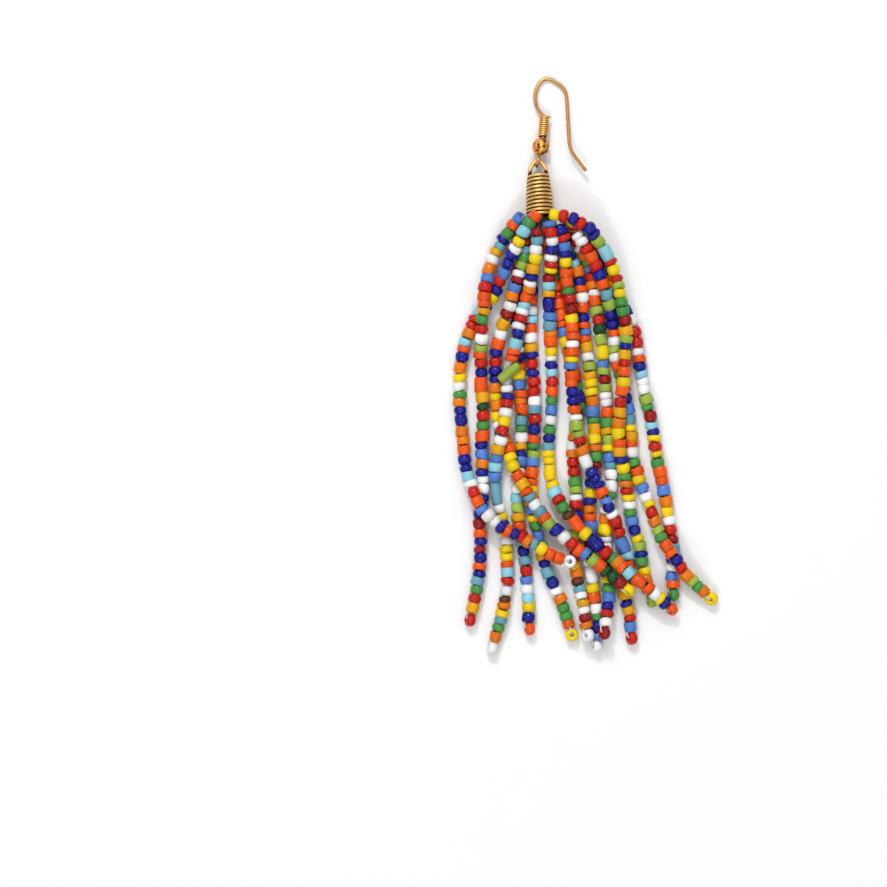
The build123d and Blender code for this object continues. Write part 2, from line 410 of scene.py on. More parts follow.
def path_mesh(name: str, points: list[Vector], closed: bool = False, steps: int = 12) -> bpy.types.Mesh:
    """The line of a smooth NURBS spline through its hull of points, as a mesh of edges.

    Args:
        name: the mesh's name.
        points: the spline's control points.
        closed: whether the spline runs back to its start.
        steps: how many edges the spline has for each control point.

    Returns:
        The mesh of the spline's own line.
    """
    curve = bpy.data.curves.new(name, "CURVE")
    curve.dimensions = "3D"
    spline = curve.splines.new("NURBS")
    spline.points.add(len(points) - 1)
    for point, place in zip(spline.points, points):
        point.co = (*place, 1.0)
    spline.order_u = 3
    spline.use_endpoint_u = not closed
    spline.use_cyclic_u = closed
    spline.resolution_u = steps
    bearer = new_piece(name, curve)
    bpy.context.view_layer.update()
    depsgraph = bpy.context.evaluated_depsgraph_get()
    mesh = bpy.data.meshes.new_from_object(bearer.evaluated_get(depsgraph), depsgraph=depsgraph)
    bpy.data.objects.remove(bearer)
    return mesh


def line_mesh(name: str, *lines: list[Vector]) -> bpy.types.Mesh:
    """A mesh of edges that joins the points of each line in turn.

    Args:
        name: the mesh's name.
        lines: the points of each line.

    Returns:
        The mesh.
    """
    points: list[Vector] = []
    edges: list[tuple[int, int]] = []
    for line in lines:
        edges += [(len(points) + step, len(points) + step + 1) for step in range(len(line) - 1)]
        points += line
    mesh = bpy.data.meshes.new(name)
    mesh.from_pydata([tuple(point) for point in points], edges, [])
    return mesh


def rounded_path(corners: list[tuple[float, float]], radii: list[float], steps: int) -> list[Vector]:
    """A line through flat corners, with a tangent arc at each one.

    Args:
        corners: the corners, across and up.
        radii: the arc's radius at each corner between the ends.
        steps: how many steps each arc takes.

    Returns:
        The points of the line, in the plane z = 0.
    """
    points = [Vector((*corners[0], 0.0))]
    for before, corner, after, radius in zip(corners, corners[1:], corners[2:], radii):
        middle = Vector((*corner, 0.0))
        back = (Vector((*before, 0.0)) - middle).normalized()
        ahead = (Vector((*after, 0.0)) - middle).normalized()
        half = back.angle(ahead) / 2
        centre = middle + (back + ahead).normalized() * radius / sin(half)
        start = (middle + back * radius / tan(half) - centre).normalized()
        end = (middle + ahead * radius / tan(half) - centre).normalized()
        points += [centre + start.slerp(end, step / steps) * radius for step in range(steps + 1)]
    points.append(Vector((*corners[-1], 0.0)))
    return points


def dressed(piece: bpy.types.Object, slot: str, *nodes: str) -> None:
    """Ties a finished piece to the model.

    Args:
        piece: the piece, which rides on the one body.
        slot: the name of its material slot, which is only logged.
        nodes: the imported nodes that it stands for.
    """
    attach(piece, BODY)
    if nodes:
        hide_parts(*nodes)
    LOG.info("%s: %d faces, slot %s", piece.name, len(piece.data.polygons), slot)


class Finish(Graph):
    """A material that is made from nodes and ends in one Principled shader."""

    def __init__(self, name: str) -> None:
        """Starts an empty material."""
        self.material = bpy.data.materials.new(name)
        self.material.use_nodes = True
        super().__init__(self.material.node_tree)
        self.tree.nodes.clear()

    def attribute(self, name: str) -> Wire:
        """A number that the mesh carries."""
        return self.node("ShaderNodeAttribute", {"attribute_name": name}).output("Fac")

    def noise(self, size: float, detail: float = 2.0, roughness: float = 0.5) -> Wire:
        """Noise from 0 to 1 over the piece, with patches of about that size in metres."""
        place = self.node("ShaderNodeTexCoord").output("Object")
        values = {"Vector": place, "Scale": 1 / size, "Detail": detail, "Roughness": roughness}
        return self.node("ShaderNodeTexNoise", {}, values)

    def mix(self, factor: Any, first: Any, second: Any) -> Wire:
        """A colour between two others."""
        values = {"Factor": factor, "A": first, "B": second}
        return self.node("ShaderNodeMix", {"data_type": "RGBA"}, values)

    def steps(self, place: Wire, stops: list[tuple[float, Colour]]) -> Wire:
        """The colour of the last stop that the place has reached."""
        made = self.node("ShaderNodeValToRGB", {"stops": stops}, {"Fac": place})
        made.socket.node.color_ramp.interpolation = "CONSTANT"
        return made

    def spread(self, value: Any, low: float, high: float, end: float = 1.0) -> Wire:
        """A value stretched from low..high to 0..end, and held there."""
        values = {"Value": value, "From Min": low, "From Max": high, "To Max": end}
        return self.node("ShaderNodeMapRange", {}, values)

    def bump(self, height: Wire, depth: float, strength: float) -> Wire:
        """A Bump node for that height, at that depth in metres."""
        return self.node("ShaderNodeBump", {}, {"Strength": strength, "Distance": depth, "Height": height})

    def close(self, values: dict[str, Any]) -> bpy.types.Material:
        """Ends the material in a Principled shader.

        Args:
            values: what goes into the shader's sockets, by their names.

        Returns:
            The finished material.
        """
        shader = self.node("ShaderNodeBsdfPrincipled", {}, values)
        self.node("ShaderNodeOutputMaterial", {}, {"Surface": shader})
        return self.material


class Glass(Enum):
    """The glasses of the mixed beads: colour, share of the mix, and whether the beads are short tubes."""

    NAVY = ((0.009, 0.011, 0.25), 12, False)
    RED = ((0.57, 0.014, 0.005), 9, False)
    OXBLOOD = ((0.30, 0.007, 0.005), 3, False)
    YELLOW = ((0.90, 0.64, 0.003), 10, False)
    WHITE = ((0.92, 0.915, 0.91), 12, False)
    GREEN = ((0.07, 0.30, 0.06), 8, False)
    BOTTLE = ((0.010, 0.07, 0.017), 1, False)
    BROWN = ((0.12, 0.036, 0.005), 1, False)
    TANGERINE = ((0.86, 0.095, 0.004), 17, True)
    ORANGE = ((0.80, 0.195, 0.003), 7, True)
    AMBER = ((0.78, 0.37, 0.003), 5, True)
    LIME = ((0.34, 0.47, 0.06), 5, True)
    CORNFLOWER = ((0.09, 0.22, 0.62), 7, True)
    AQUA = ((0.29, 0.65, 0.79), 4, True)
    TURQUOISE = ((0.14, 0.36, 0.45), 4, True)

    @property
    def colour(self) -> Colour:
        """The glass's own colour."""
        return (*self.value[0], 1.0)

    @property
    def share(self) -> int:
        """How many of about a hundred beads are of this glass."""
        return self.value[1]

    @property
    def tube(self) -> bool:
        """Whether beads of this glass are short tubes rather than round."""
        return self.value[2]


class GlassMix:
    """Where each glass lies on a line from 0 to 1, by its share of the mix."""

    def __init__(self) -> None:
        """Lays the glasses one after another along the line."""
        self.total = sum(glass.share for glass in Glass)
        self.starts: dict[Glass, float] = {}
        place = 0.0
        for glass in Glass:
            self.starts[glass] = place / self.total
            place += glass.share

    def middle(self, glass: Glass) -> float:
        """The middle of a glass's stretch of the line."""
        return self.starts[glass] + glass.share / self.total / 2

    def tubes_from(self) -> float:
        """Where the glasses begin whose beads are short tubes."""
        return min(self.starts[glass] for glass in Glass if glass.tube)

    def stops(self) -> list[tuple[float, Colour]]:
        """The line as the stops of a stepped ramp."""
        return [(self.starts[glass], glass.colour) for glass in Glass]


@dataclass(frozen=True)
class GlassFinish:
    """Opaque pressed glass: strong colour, a soft gloss and small flaws.

    Each bead is darkened by up to tone_spread, as the fraction of its number times tone_steps says.
    """

    gloss: float = 0.25
    ior: float = 1.52
    roughness: float = 0.06
    roughness_spread: float = 0.1
    tone_steps: float = 613.0
    tone_spread: float = 0.35
    tone_depth: float = 0.55
    milkiness: float = 0.02
    milk_patch: float = 0.6 * MM
    milk_from: float = 0.45
    milk_to: float = 0.75
    dimple: float = 0.6 * MM
    dimple_depth: float = 0.015 * MM
    dimple_strength: float = 0.5

    def make(self, mix: GlassMix) -> bpy.types.Material:
        """The material of all the beads.

        Args:
            mix: where each glass lies on the beads' own number.

        Returns:
            The finished material.
        """
        finish = Finish("bead_glass")
        lot = finish.attribute("glass")
        glass = finish.steps(lot, mix.stops())
        tone = finish.spread((lot * self.tone_steps).maths("FRACT"), 0.0, 1.0, self.tone_spread)
        toned = finish.mix(tone, glass, finish.mix(self.tone_depth, glass, BLACK))
        milk = finish.noise(self.milk_patch, detail=3.0)
        cloud = finish.spread(milk, self.milk_from, self.milk_to, self.milkiness)
        dimples = finish.noise(self.dimple)
        return finish.close({
            "Base Color": finish.mix(cloud, toned, WHITE),
            "Roughness": dimples * self.roughness_spread + self.roughness,
            "Normal": finish.bump(dimples, self.dimple_depth, self.dimple_strength),
            "IOR": self.ior,
            "Specular IOR Level": self.gloss,
        })


@dataclass(frozen=True)
class MetalFinish:
    """Wire metal: bright and worn patches at random, and painted shade in the grooves and dents that the
    mesh names.
    """

    name: str
    bright: Colour
    # The colour of the painted shade in the grooves and dents.
    worn: Colour
    dark: Colour
    roughness: float
    grain: float
    shade_from: float = 0.2
    shade_to: float = 0.6
    wear_from: float = 0.35
    wear_to: float = 0.7
    wear_roughness: float = 0.16
    shade_roughness: float = 0.2
    smudge: float = 0.4 * MM
    smudge_shade: float = 0.25
    pit: float = 0.35 * MM
    pit_depth: float = 0.012 * MM
    pit_strength: float = 0.7

    def make(self) -> bpy.types.Material:
        """The material, with painted shade darkening the grooves and dents that the mesh names.

        Returns:
            The finished material.
        """
        finish = Finish(self.name)
        grain = finish.noise(self.grain, detail=4.0, roughness=0.6)
        wear = finish.spread(grain, self.wear_from, self.wear_to)
        metal = finish.mix(wear, self.bright, self.worn)
        smudges = finish.noise(self.smudge, detail=3.0)
        # Painted shade: the mesh's recess value, with a little random smudging, mixes the metal towards the
        # shade colour.
        depth = finish.attribute("groove") + smudges * self.smudge_shade
        shade = finish.spread(depth, self.shade_from, self.shade_to)
        pits = finish.noise(self.pit, detail=4.0, roughness=0.65)
        return finish.close({
            "Base Color": finish.mix(shade, metal, self.dark),
            "Metallic": 1.0,
            "Roughness": wear * self.wear_roughness + self.roughness + shade * self.shade_roughness,
            "Normal": finish.bump(pits, self.pit_depth, self.pit_strength),
        })


@dataclass(frozen=True)
class ThreadFinish:
    """Nylon thread, a little uneven in colour."""

    name: str
    colour: Colour
    worn: Colour
    patch: float = 0.8 * MM
    fibre: float = 0.4 * MM
    roughness: float = 0.6
    roughness_spread: float = 0.2

    def make(self) -> bpy.types.Material:
        """The finished material."""
        finish = Finish(self.name)
        rough = finish.noise(self.fibre) * self.roughness_spread + self.roughness
        base = finish.mix(finish.noise(self.patch), self.colour, self.worn)
        return finish.close({"Base Color": base, "Roughness": rough})


@dataclass(frozen=True)
class TableFinish:
    """Matt white, with a faint change of tone."""

    light: Colour = (0.90, 0.90, 0.905, 1.0)
    dull: Colour = (0.88, 0.88, 0.885, 1.0)
    patch: float = 0.2
    roughness: float = 0.7

    def make(self) -> bpy.types.Material:
        """The finished material."""
        finish = Finish("table_white")
        tone = finish.mix(finish.noise(self.patch), self.light, self.dull)
        return finish.close({"Base Color": tone, "Roughness": self.roughness})


class Finishes:
    """All the materials of the earring, made once."""

    def __init__(self) -> None:
        """Makes the materials."""
        self.mix = GlassMix()
        self.glass = GlassFinish().make(self.mix)
        self.thread = ThreadFinish(
            "nylon_thread", colour=(0.80, 0.78, 0.70, 1.0), worn=(0.55, 0.52, 0.44, 1.0),
        ).make()
        # The knot's threads are the same pale nylon, painted dark brown as the shade in the cone's mouth.
        self.knot = ThreadFinish(
            "knot_thread_painted_shade", colour=(0.20, 0.13, 0.09, 1.0), worn=(0.10, 0.06, 0.04, 1.0),
        ).make()
        self.gilt = MetalFinish(
            "gilt_wire", bright=(0.74, 0.42, 0.14, 1.0), worn=(0.52, 0.25, 0.07, 1.0),
            dark=(0.16, 0.05, 0.01, 1.0), roughness=0.25, grain=1.8 * MM,
        ).make()
        self.coil = MetalFinish(
            "gilt_coil", bright=(1.0, 0.66, 0.24, 1.0), worn=(0.92, 0.46, 0.10, 1.0),
            dark=(0.18, 0.05, 0.01, 1.0), roughness=0.42, grain=0.8 * MM, shade_from=0.3, shade_to=0.9,
        ).make()
        self.ball = MetalFinish(
            "gilt_ball", bright=(1.0, 0.62, 0.18, 1.0), worn=(0.90, 0.28, 0.04, 1.0),
            dark=(0.12, 0.03, 0.01, 1.0), roughness=0.45, grain=0.6 * MM, pit_depth=0.062 * MM,
        ).make()
        self.bronze = MetalFinish(
            "bronze_wire", bright=(1.0, 0.68, 0.29, 1.0), worn=(0.78, 0.42, 0.12, 1.0),
            dark=(0.07, 0.02, 0.003, 1.0), roughness=0.48, grain=1.2 * MM, shade_from=0.15, shade_to=0.52,
        ).make()


@dataclass(frozen=True)
class BeadForm:
    """One shape of bead, a ring of diameter 1 and length 1."""

    name: str
    end_radius: float
    edge_height: float
    edge_radius: float
    slant: float = 0.0
    hole_radius: float = 0.17
    hole_height: float = 0.47
    sides: int = 12

    def make(self) -> bpy.types.Object:
        """The bead as an object that isn't in the scene.

        Returns:
            The object, with the bead's hole along Z.
        """
        half = 0.5
        edge = (self.edge_radius, self.edge_height)
        upper = [edge, (self.end_radius, half), (self.hole_radius, self.hole_height)]
        lower = [(radius, -height) for radius, height in reversed(upper)]
        profile = lower + [(half, 0.0)] + upper
        return bpy.data.objects.new(self.name, lathe(self.name, profile, self.sides, self.slant))


# The tree that strings the beads takes these by number: 0, 1 and 2.
BEAD_FORMS = [
    BeadForm("form_0_round", end_radius=0.34, edge_height=0.30, edge_radius=0.475),
    BeadForm("form_1_tube", end_radius=0.42, edge_height=0.40, edge_radius=0.487),
    BeadForm("form_2_slanted", end_radius=0.38, edge_height=0.34, edge_radius=0.48, slant=0.35),
]

LEAD_BEADS = [f"Bead {place}" for place in range(1, 9)]


class Draw(IntEnum):
    """The random draws for each bead of a string."""

    LONGISH = 1
    LENGTH = 2
    WIDTH = 3
    JOG = 4
    SWAY = 5
    ROLL = 6
    GLASS = 7
    SLANT = 8


class BeadStringShape(Shape):
    """Beads of uneven length and width on a thread, with the last one turned crosswise."""

    longish_from: float = 0.97
    longish_stretch: float = 0.6
    slanted_from: float = 0.86
    slanted_form: float = 2.0
    closeness: float = 0.985
    floor_share: float = 0.54
    far_off: float = -1.0
    highest_jog: float = 0.6
    least_glass: float = 0.001
    thread_step: float = 0.8 * MM

    def __init__(self) -> None:
        """Builds the tree."""
        sizes = ["Shortest", "Longest", "Narrowest", "Widest", "Tilt", "Sideways", "Thread Radius"]
        stopper = ["Stopper Width", "Stopper Length", "Stopper Turn", "Stopper Glass", "Tubes From"]
        odd = ["Askew Bead", "Askew Glass", "Askew Lean", "Long Bead", "Long Glass"]
        odd_sizes = ["Odd Stretch", "Odd Slimness"]
        inputs = {name: "Float" for name in sizes + stopper + odd + odd_sizes + LEAD_BEADS}
        inputs |= {"Seed": "Int", "Forms": "Collection", "Loop": "Object"}
        inputs |= {"Glass": "Material", "Thread": "Material"}
        super().__init__("bead_string", inputs)
        self.path = self.curve(self["Geometry"])
        self.reach = self.node("GeometryNodeCurveLength", {}, {"Curve": self.path})
        self.filled = self.reach - self["Stopper Width"] / 2.0
        self.askew = self.picked("Askew Bead")
        self.long = self.picked("Long Bead")
        forms = {"Collection": self["Forms"], "Separate Children": True}
        self.forms = self.node("GeometryNodeCollectionInfo", {}, forms)
        parts = self.joined(self.beads(), self.stopper(), self.thread())
        solid = self.node("GeometryNodeRealizeInstances", {}, {"Geometry": parts})
        threaded = self.node("GeometryNodeSetMaterial", {}, {"Geometry": solid, "Material": self["Thread"]})
        lot = self.node("GeometryNodeInputNamedAttribute", {"data_type": "FLOAT"}, {"Name": "glass"})
        self.leave(threaded, self["Glass"], lot > 0.0)

    def at(self, distance: Wire) -> Wire:
        """The path's place at a distance along it; its other outputs hold the direction."""
        values = {"Curves": self.path, "Length": distance}
        return self.node("GeometryNodeSampleCurve", {"mode": "LENGTH"}, values).output("Position")

    def over_table(self, place: Wire, width: Wire) -> Wire:
        """The place, raised where a bead of this width would dip into the table there."""
        lowest = self.xyz(self.far_off, self.far_off, width * self.floor_share)
        return self.vector("MAXIMUM", place, lowest)

    def picked(self, name: str) -> Wire:
        """1 for the bead whose number along the string is this input's, and 0 for the others."""
        apart = self.node("GeometryNodeInputIndex") - self[name]
        return 1.0 - (apart.maths("ABSOLUTE") > 0.5)

    def strung(
        self, points: Wire, form: Any, rotation: Wire, width: Wire, length: Wire, glass: Wire
    ) -> Wire:
        """Puts beads on points.

        Args:
            points: where the beads are.
            form: the number of each bead's form.
            rotation: how each bead is turned.
            width: each bead's width.
            length: each bead's length along its hole.
            glass: the number of each bead's glass.

        Returns:
            The beads as instances, with the number of their glass on them.
        """
        values = {
            "Points": points,
            "Instance": self.forms,
            "Pick Instance": True,
            "Instance Index": form,
            "Rotation": rotation,
            "Scale": self.xyz(width, width, length),
        }
        beads = self.node("GeometryNodeInstanceOnPoints", {}, values)
        return self.marked(beads, "glass", glass, "INSTANCE")

    def beads(self) -> Wire:
        """The beads that fill the thread from end to end.

        Returns:
            The beads, each with a length, a width, a form and a glass by chance or as asked for.
        """
        odd = self.askew + self.long
        longish = (self.random(0.0, 1.0, Draw.LONGISH) > self.longish_from) * self.longish_stretch
        stretch = longish + odd * self["Odd Stretch"] + 1.0
        raw = self.random(self["Shortest"], self["Longest"], Draw.LENGTH) * stretch
        usual = (self["Shortest"] + self["Longest"]) / 2.0
        points = self.node("GeometryNodePoints", {}, {"Count": (self.filled / usual).maths("ROUND")})
        settings = {"data_type": "FLOAT", "domain": "POINT"}
        summed = self.node("GeometryNodeAccumulateField", settings, {0: raw})
        total = summed.output("Total")
        place = self.at((summed.output("Trailing") + raw / 2.0) / total * self.filled)
        length = raw / total * self.filled * self.closeness
        slimness = 1.0 - odd * self["Odd Slimness"]
        width = self.random(self["Narrowest"], self["Widest"], Draw.WIDTH) * slimness
        jog = self.random((-1.0, -1.0, 0.0), (1.0, 1.0, self.highest_jog), Draw.JOG, "FLOAT_VECTOR")
        jogged = self.vector("ADD", place, self.scaled(jog, self["Sideways"]))
        placed = self.moved(points, {"Position": self.over_table(jogged, width)})
        glass = self.glass()
        slanted = self.random(0.0, 1.0, Draw.SLANT) > self.slanted_from
        form = (glass > self["Tubes From"]) * (1.0 - slanted) + slanted * self.slanted_form
        return self.strung(placed, form, self.facing(place.output("Tangent")), width, length, glass)

    def facing(self, direction: Wire) -> Wire:
        """How each bead is turned: swayed and rolled by chance, and the askew one leaning over.

        Args:
            direction: the thread's direction at the bead.

        Returns:
            The rotation.
        """
        sway = self.random((-1.0, -1.0, -1.0), (1.0, 1.0, 1.0), Draw.SWAY, "FLOAT_VECTOR")
        swayed = self.vector("ADD", direction, self.scaled(sway, self["Tilt"]))
        heading = self.vector("ADD", swayed, self.xyz(x=self.askew * self["Askew Lean"]))
        turned = self.node("FunctionNodeAlignRotationToVector", {"axis": "Z"}, {"Vector": heading})
        roll = self.node("FunctionNodeAxisAngleToRotation", {}, {"Angle": self.random(0.0, tau, Draw.ROLL)})
        values = {"Rotation": turned, "Rotate By": roll}
        return self.node("FunctionNodeRotateRotation", {"rotation_space": "LOCAL"}, values)

    def glass(self) -> Wire:
        """The number of each bead's glass: as asked for, or else by chance.

        Returns:
            A place on the glass mix's line.
        """
        last = len(LEAD_BEADS)
        index = self.node("GeometryNodeInputIndex").maths("MINIMUM", last)
        asked = {"Index": index, str(last): float(NO_BEAD)}
        asked |= {str(place): self[name] for place, name in enumerate(LEAD_BEADS)}
        lead = self.node("GeometryNodeIndexSwitch", {"data_type": "FLOAT", "items": last + 1}, asked)
        glass = self.random(self.least_glass, 1.0 - self.least_glass, Draw.GLASS)
        choices = [(lead > 0.0, lead), (self.askew, self["Askew Glass"]), (self.long, self["Long Glass"])]
        for chosen, wanted in choices:
            glass = glass + chosen * (wanted - glass)
        return glass

    def stopper(self) -> Wire:
        """The last bead, turned crosswise, with the loop of thread that holds it.

        Returns:
            The bead and its loop.
        """
        width, length, turn = self["Stopper Width"], self["Stopper Length"], self["Stopper Turn"]
        end = self.at(self.reach)
        heading = end.output("Tangent")
        across = self.vector("NORMALIZE", self.vector("CROSS_PRODUCT", heading, (0.0, 0.0, 1.0)))
        hole = self.vector("ADD", self.scaled(across, turn.maths("SINE")), self.xyz(z=turn.maths("COSINE")))
        settings = {"primary_axis": "Z", "secondary_axis": "X"}
        axes = {"Primary Axis": hole, "Secondary Axis": heading}
        rotation = self.node("FunctionNodeAxesToRotation", settings, axes)
        point = self.node("GeometryNodePoints", {}, {"Count": 1, "Position": self.over_table(end, width)})
        bead = self.strung(point, 0, rotation, width, length, self["Stopper Glass"])
        loop = self.node("GeometryNodeObjectInfo", {}, {"Object": self["Loop"]}).output("Geometry")
        held = {"Points": point, "Instance": loop, "Rotation": rotation}
        return self.joined(bead, self.node("GeometryNodeInstanceOnPoints", {}, held))

    def thread(self) -> Wire:
        """The thread through the beads' holes.

        Returns:
            The thread as a tube, as far as the stopper.
        """
        values = {"Curve": self.path, "Length": self.thread_step}
        even = self.node("GeometryNodeResampleCurve", {"mode": "LENGTH"}, values)
        kept = self.node("GeometryNodeTrimCurve", {"mode": "LENGTH"}, {"Curve": even, "End": self.filled})
        return self.tube(kept, self["Thread Radius"], THREAD_SIDES)


@dataclass(frozen=True)
class StopperLoop:
    """The loop of thread that goes through the last bead and back to the string."""

    reach: float
    half_length: float
    thread_radius: float
    corners: tuple[tuple[float, float], ...] = ((1.0, 0.2), (0.8, 1.0), (0.25, 1.0), (0.0, 0.4))

    def make(self, thread: bpy.types.Material) -> bpy.types.Object:
        """The loop as an object that isn't in the scene, with the string towards -X and the hole along Z.

        Args:
            thread: the thread's material.

        Returns:
            The object.
        """
        out = self.half_length + self.thread_radius
        upper = [Vector((-back * self.reach, 0.0, rise * out)) for back, rise in self.corners]
        lower = [Vector((point.x, 0.0, -point.z)) for point in reversed(upper)]
        loop = new_piece("stopper_loop", path_mesh("stopper_loop", upper + lower, closed=True))
        ThreadShape().grow(loop, {"Radius": self.thread_radius, "Thread": thread})
        bpy.context.scene.collection.objects.unlink(loop)
        return loop


@dataclass(frozen=True)
class BeadString:
    """One string of the fringe: its route, its stopper bead, and the beads whose glass is asked for.

    The points are as Fringe.from_mouth takes them. The tuck leads from the cone to the start of the route.
    A slanting bead and a long one are given by their numbers along the string.
    """

    number: int
    stopper: Glass
    stopper_turn: float
    route: list[Place]
    tuck: list[Place] = field(default_factory=list)
    lead: list[Glass] = field(default_factory=list)
    askew: int = NO_BEAD
    long: int = NO_BEAD

    @property
    def node(self) -> str:
        """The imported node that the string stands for."""
        return f"bead_strand_{self.number:02d}"


@dataclass
class Fringe:
    """The fourteen strings of beads."""

    finishes: Finishes
    mouth_x: float = -8.62 * MM
    mouth_y: float = 28.7 * MM
    nominal_radius: float = 1.2 * MM
    shortest: float = 1.25 * MM
    longest: float = 2.2 * MM
    narrowest: float = 2.4 * MM
    widest: float = 2.82 * MM
    tilt: float = 0.19
    sideways: float = 0.13 * MM
    stopper_width: float = 2.6 * MM
    stopper_length: float = 1.7 * MM
    loop_share: float = 0.75
    askew_glass: Glass = Glass.LIME
    askew_lean: float = -1.05
    long_glass: Glass = Glass.TURQUOISE
    odd_stretch: float = 1.6
    odd_slimness: float = 0.26
    seed_step: int = 100

    def from_mouth(self, across: float, down: float, lift: float) -> Vector:
        """A point given in millimetres from the cone's mouth, its height over the lowest layer of beads."""
        x, y = self.mouth_x + across * MM, self.mouth_y - down * MM
        return Vector((x, y, self.nominal_radius + lift * MM))

    def build(self, strings: list[BeadString]) -> None:
        """Makes every string and ties it to the model.

        Args:
            strings: the strings, each with its route.
        """
        shape = BeadStringShape()
        common = self.common_values()
        for string in strings:
            points = [self.from_mouth(*place) for place in string.tuck + string.route]
            piece = new_piece(f"bead_string_{string.number:02d}", path_mesh(string.node, points))
            shape.grow(piece, common | self.own_values(string))
            dressed(piece, "seed_beads", string.node)

    def common_values(self) -> dict[str, Any]:
        """What goes into the tree for every string.

        Returns:
            The values by the names of the tree's inputs.
        """
        forms = bpy.data.collections.new("bead_forms")
        for form in BEAD_FORMS:
            forms.objects.link(form.make())
        loop = StopperLoop(self.loop_share * self.stopper_width, self.stopper_length / 2, THREAD_RADIUS)
        return {
            "Shortest": self.shortest,
            "Longest": self.longest,
            "Narrowest": self.narrowest,
            "Widest": self.widest,
            "Tilt": self.tilt,
            "Sideways": self.sideways,
            "Thread Radius": THREAD_RADIUS,
            "Stopper Width": self.stopper_width,
            "Stopper Length": self.stopper_length,
            "Tubes From": self.finishes.mix.tubes_from(),
            "Askew Glass": self.finishes.mix.middle(self.askew_glass),
            "Askew Lean": self.askew_lean,
            "Long Glass": self.finishes.mix.middle(self.long_glass),
            "Odd Stretch": self.odd_stretch,
            "Odd Slimness": self.odd_slimness,
            "Forms": forms,
            "Loop": loop.make(self.finishes.thread),
            "Glass": self.finishes.glass,
            "Thread": self.finishes.thread,
        }

    def own_values(self, string: BeadString) -> dict[str, Any]:
        """What goes into the tree for one string.

        Args:
            string: the string.

        Returns:
            The values by the names of the tree's inputs.
        """
        lead = [self.finishes.mix.middle(glass) for glass in string.lead]
        lead += [float(NO_BEAD)] * (len(LEAD_BEADS) - len(lead))
        return dict(zip(LEAD_BEADS, lead)) | {
            "Seed": self.seed_step * string.number,
            "Stopper Turn": radians(string.stopper_turn),
            "Askew Bead": float(string.askew),
            "Long Bead": float(string.long),
            "Stopper Glass": self.finishes.mix.middle(string.stopper),
        }


